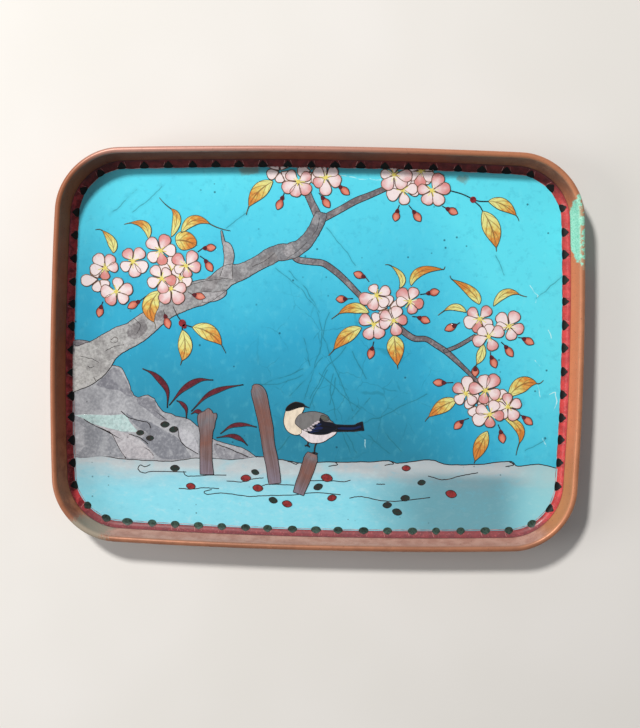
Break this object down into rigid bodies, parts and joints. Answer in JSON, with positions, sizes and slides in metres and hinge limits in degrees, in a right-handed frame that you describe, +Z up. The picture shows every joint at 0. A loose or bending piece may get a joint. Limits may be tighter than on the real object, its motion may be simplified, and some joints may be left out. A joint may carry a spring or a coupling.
{
  "type": "cloisonne tray",
  "caption": "Shallow rectangular copper tray with rounded corners and a rolled lip, its floor inlaid with flush enamel cells showing a bird, blossoms, rocks and water.",
  "frame": {"origin": "on the plane that the tray stands on, under the middle of its outline", "axes": "+X along the long side, towards the right of the picture; +Y towards the top of the picture; +Z up, out of the open face"},
  "size_m": [0.14, 0.106, 0.01],
  "materials": {
    "copper": "worn bare copper, bright on the lip and browned inside the wall",
    "underside_enamel": "plain glossy enamel",
    "border_enamel": "polished red enamel",
    "sky_enamel": "polished turquoise enamel with fine crazing",
    "water_enamel": "polished pale blue enamel",
    "rock_enamel": "polished grey enamel",
    "branch_enamel": "polished mottled grey-brown enamel",
    "stake_enamel": "polished brown enamel",
    "blossom_enamel": "polished white and pink enamel",
    "bird_enamel": "polished dark grey and cream enamel"
  },
  "bodies": {
    "root": {"copper_pan": "copper", "underside_enamel": "underside_enamel", "border_enamel": "border_enamel", "sky_enamel": "sky_enamel", "sky_enamel_2": "sky_enamel", "sky_enamel_3": "sky_enamel", "water_enamel": "water_enamel", "rocks_enamel": "rock_enamel", "rocks_enamel_2": "rock_enamel", "branch_enamel": "branch_enamel", "lower_twig_enamel": "branch_enamel", "stake_left_enamel": "stake_enamel", "stake_middle_enamel": "stake_enamel", "stake_right_enamel": "stake_enamel", "bird_enamel": "bird_enamel", "blossoms_far_left_enamel": "blossom_enamel", "blossoms_left_enamel": "blossom_enamel", "blossoms_top_enamel": "blossom_enamel", "blossoms_top_right_enamel": "blossom_enamel", "blossoms_middle_enamel": "blossom_enamel", "blossoms_right_enamel": "blossom_enamel", "blossoms_low_right_enamel": "blossom_enamel"}
  },
  "joints": []
}
